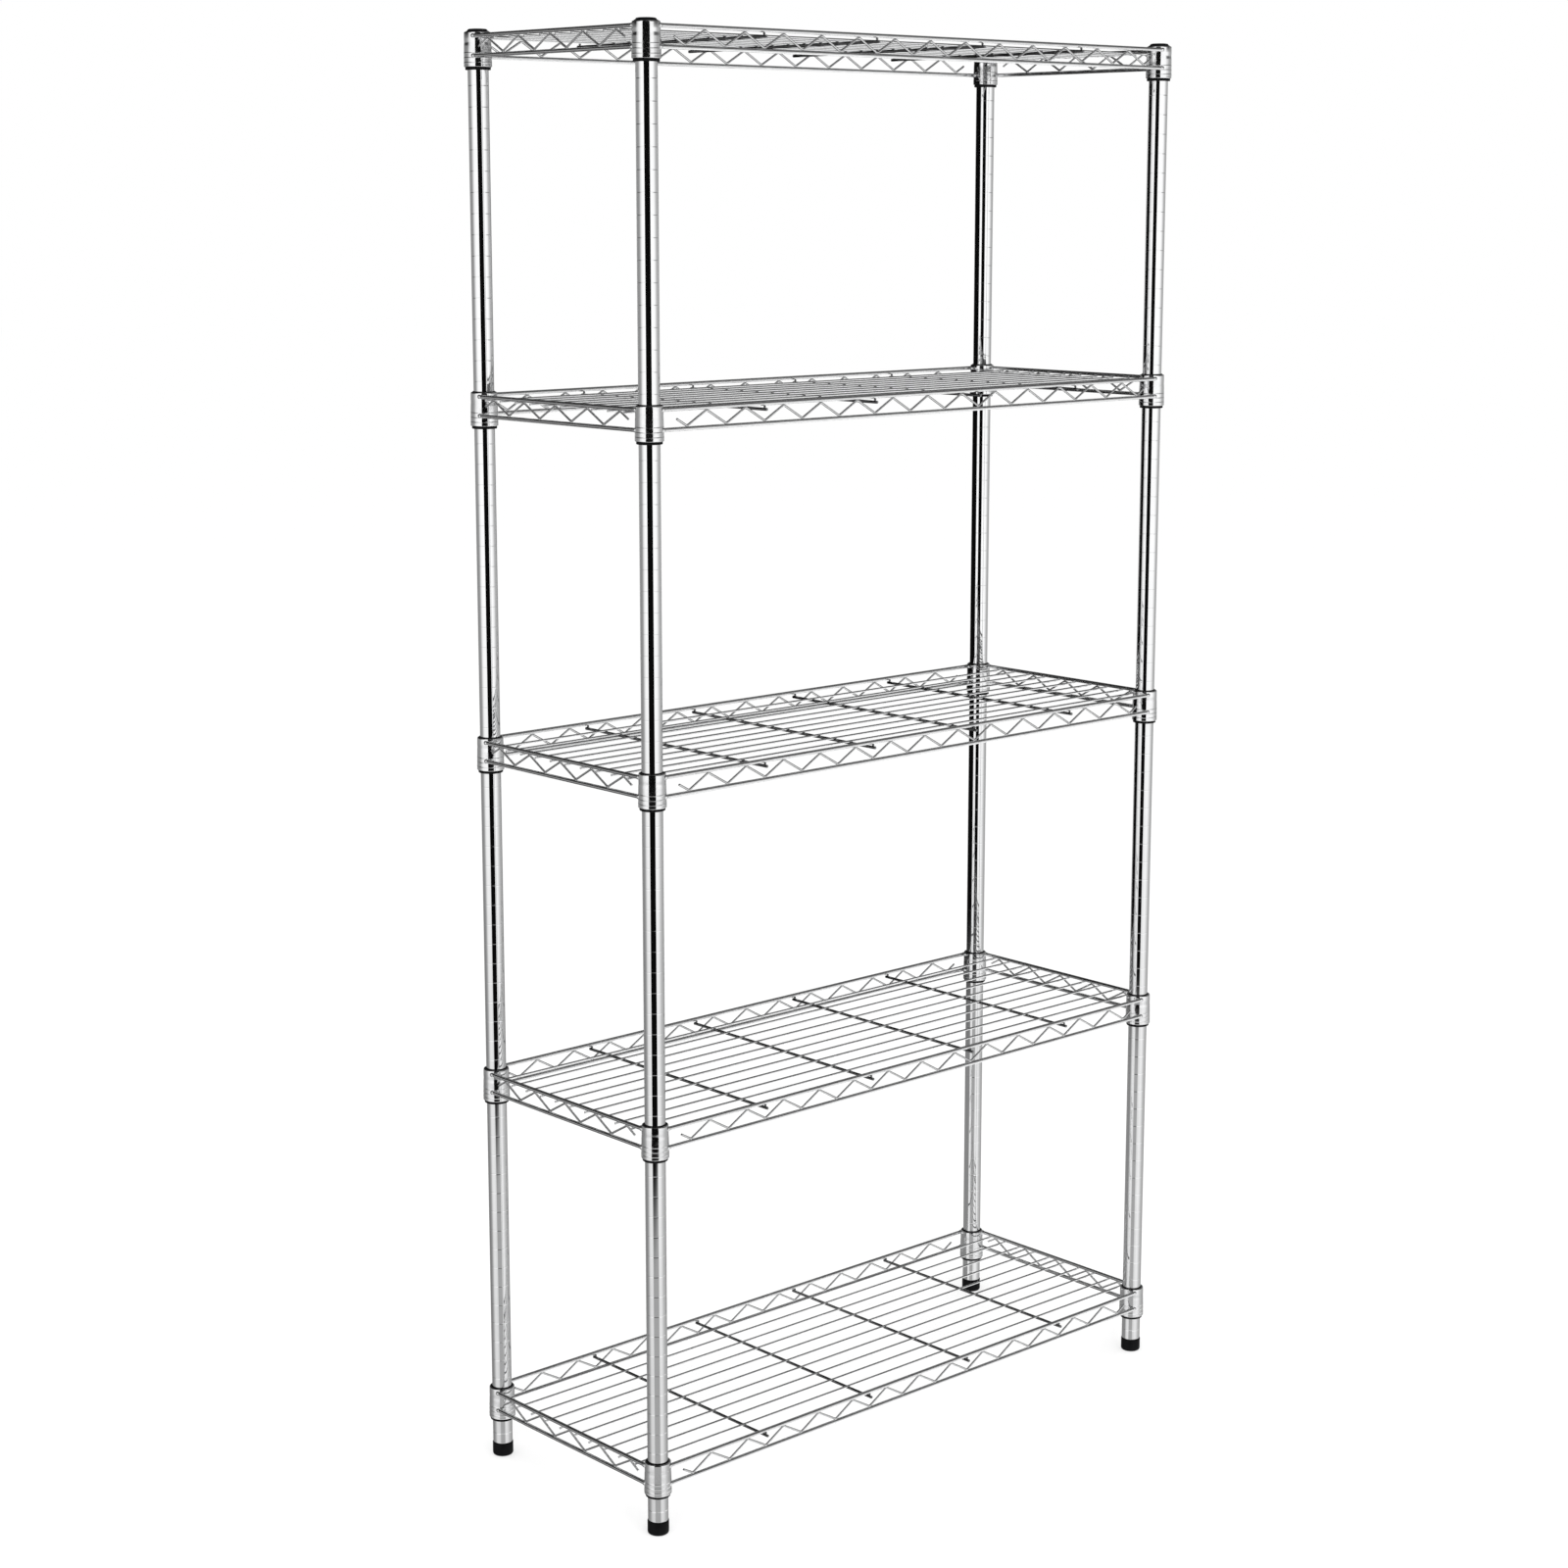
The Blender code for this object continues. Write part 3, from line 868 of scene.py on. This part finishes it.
def makeWorld():
    world = bpy.data.worlds.new("studioWorld")
    bpy.context.scene.world = world
    world.use_nodes = True
    tree = world.node_tree
    tree.nodes.clear()
    direction = addNode(tree, "ShaderNodeTexCoord").outputs["Generated"]
    turned = addNode(tree, "ShaderNodeVectorRotate", {
        "Vector": direction, "Angle": math.radians(-studio["lookAzimuth"])},
        rotation_type="Z_AXIS")
    parts = addNode(tree, "ShaderNodeSeparateXYZ", {"Vector": turned.outputs[0]})
    back = addNode(tree, "ShaderNodeMath", {0: parts.outputs["Y"], 1: -1.0}, operation="MULTIPLY")
    angle = addNode(tree, "ShaderNodeMath", {
        0: parts.outputs["X"], 1: back.outputs[0]}, operation="ARCTAN2")
    turn = addNode(tree, "ShaderNodeMapRange", {
        "Value": angle.outputs[0], "From Min": -math.pi, "From Max": math.pi})
    metal = addRamp(tree, turn.outputs[0], metalSees["atEyeLevel"])
    for belt, (begins, full) in beltHeights.items():
        seen = addRamp(tree, turn.outputs[0], metalSees[belt])
        share = addNode(tree, "ShaderNodeMapRange", {
            "Value": parts.outputs["Z"], "From Min": begins, "From Max": full})
        metal = addNode(tree, "ShaderNodeMix", {
            "Factor": share.outputs[0], "A": metal, "B": seen}, data_type="RGBA").outputs["Result"]
    rays = addNode(tree, "ShaderNodeLightPath")
    soft = studio["diffuseLevel"]
    seenByMetal = addNode(tree, "ShaderNodeMix", {
        "Factor": rays.outputs["Is Glossy Ray"], "A": (soft, soft, soft, 1),
        "B": metal}, data_type="RGBA")
    seen = addNode(tree, "ShaderNodeMix", {
        "Factor": rays.outputs["Is Camera Ray"], "A": seenByMetal.outputs["Result"],
        "B": (1, 1, 1, 1)}, data_type="RGBA")
    light = addNode(tree, "ShaderNodeBackground", {"Color": seen.outputs["Result"], "Strength": 1.0})
    out = addNode(tree, "ShaderNodeOutputWorld")
    tree.links.new(light.outputs[0], out.inputs["Surface"])


def makeFloor():
    material = bpy.data.materials.new("paleFloor")
    material.use_nodes = True
    tree = material.node_tree
    tree.nodes.clear()
    paint = addNode(tree, "ShaderNodeBsdfDiffuse", {"Color": (1, 1, 1, 1)})
    glow = addNode(tree, "ShaderNodeEmission", {"Color": (1, 1, 1, 1), "Strength": 1.0})
    mixed = addNode(tree, "ShaderNodeMixShader", {
        0: studio["floorGlow"], 1: paint.outputs[0], 2: glow.outputs[0]})
    out = addNode(tree, "ShaderNodeOutputMaterial")
    tree.links.new(mixed.outputs[0], out.inputs["Surface"])
    half = studio["floorSize"] / 2
    mesh = bpy.data.meshes.new("floor")
    mesh.from_pydata([(-half, -half, 0), (half, -half, 0), (half, half, 0), (-half, half, 0)], [],
                     [(0, 1, 2, 3)])
    mesh.materials.append(material)
    floor = bpy.data.objects.new("floor", mesh)
    bpy.context.scene.collection.objects.link(floor)
    floor.visible_glossy = False  # metal sees the world's own floor, drawn softer


# dark cloths that only reflections see, as stripes in the chrome. Each pales from its "dark"
# height down to its "pale" one
flags = {
    "flagFront": {
        "middle": (-1.329, -1.376), "width": 1.74, "azimuth": -51.9, "bottom": -1.2, "top": 3.4,
        "pale": -0.24, "dark": 0.0, "paleLevel": 0.4, "darkLevel": 0.003},
    "flagBehind": {
        "middle": (0.214, 0.395), "width": 0.68, "azimuth": 27, "bottom": -0.3, "top": 2.4,
        "pale": 0.22, "dark": 0.52, "paleLevel": 0.26, "darkLevel": 0.003},
}


def makeCloth(name, flag):
    material = bpy.data.materials.new(name)
    material.use_nodes = True
    tree = material.node_tree
    tree.nodes.clear()
    place = addNode(tree, "ShaderNodeTexCoord").outputs["Object"]
    height = addNode(tree, "ShaderNodeSeparateXYZ", {"Vector": place}).outputs["Z"]
    level = addNode(tree, "ShaderNodeMapRange", {
        "Value": height, "From Min": flag["pale"], "From Max": flag["dark"],
        "To Min": flag["paleLevel"], "To Max": flag["darkLevel"]}, interpolation_type="SMOOTHSTEP")
    dull = addNode(tree, "ShaderNodeEmission", {
        "Color": (1, 1, 1, 1), "Strength": level.outputs[0]})
    out = addNode(tree, "ShaderNodeOutputMaterial")
    tree.links.new(dull.outputs[0], out.inputs["Surface"])
    return material


def makeFlags():
    for name, flag in flags.items():
        turn = math.radians(flag["azimuth"])
        along = Vector((math.cos(turn), math.sin(turn), 0)) * flag["width"] / 2
        middle = Vector((*flag["middle"], 0))
        low, high = Vector((0, 0, flag["bottom"])), Vector((0, 0, flag["top"]))
        points = [middle - along + low, middle + along + low, middle + along + high,
                  middle - along + high]
        mesh = bpy.data.meshes.new(name)
        mesh.from_pydata([tuple(point) for point in points], [], [(0, 1, 2, 3)])
        mesh.materials.append(makeCloth(f"{name}Cloth", flag))
        cloth = bpy.data.objects.new(name, mesh)
        bpy.context.scene.collection.objects.link(cloth)
        cloth.visible_camera = False
        cloth.visible_diffuse = False
        cloth.visible_shadow = False
        cloth.visible_transmission = False


def makeLamp():
    data = bpy.data.lights.new("softLamp", "AREA")
    data.shape = "DISK"
    data.size = studio["lampSize"]
    data.energy = studio["lampPower"]
    lamp = bpy.data.objects.new("softLamp", data)
    lamp.location = studio["lampPlace"]
    aim = Vector(studio["lampAim"]) - Vector(studio["lampPlace"])
    lamp.rotation_euler = aim.to_track_quat("-Z", "Y").to_euler()
    lamp.visible_glossy = False
    bpy.context.scene.collection.objects.link(lamp)


makeWorld()
makeFloor()
makeFlags()
makeLamp()
print("studio made")


view = {
    "place": (-2.634, -2.8005, 1.6297),
    "heading": 42.296,  # degrees from +Y towards +X
    "down": 10.39,
    "focal": 3022.7,  # in pixels of the picture
    "pictureWidth": 1600,
    "sensorWidth": 36,
    "shiftY": -0.03,
    "clip": (0.05, 100),
}


def makeCamera():
    data = bpy.data.cameras.new("photoCamera")
    data.sensor_width = view["sensorWidth"]
    data.lens = view["focal"] * view["sensorWidth"] / view["pictureWidth"]
    data.shift_y = view["shiftY"]
    data.clip_start, data.clip_end = view["clip"]
    camera = bpy.data.objects.new("photoCamera", data)
    camera.location = view["place"]
    camera.rotation_euler = (
        math.radians(90 - view["down"]), 0, math.radians(-view["heading"]))
    bpy.context.scene.collection.objects.link(camera)
    bpy.context.scene.camera = camera


makeCamera()
bpy.context.scene.view_settings.view_transform = "Standard"
print("camera placed")
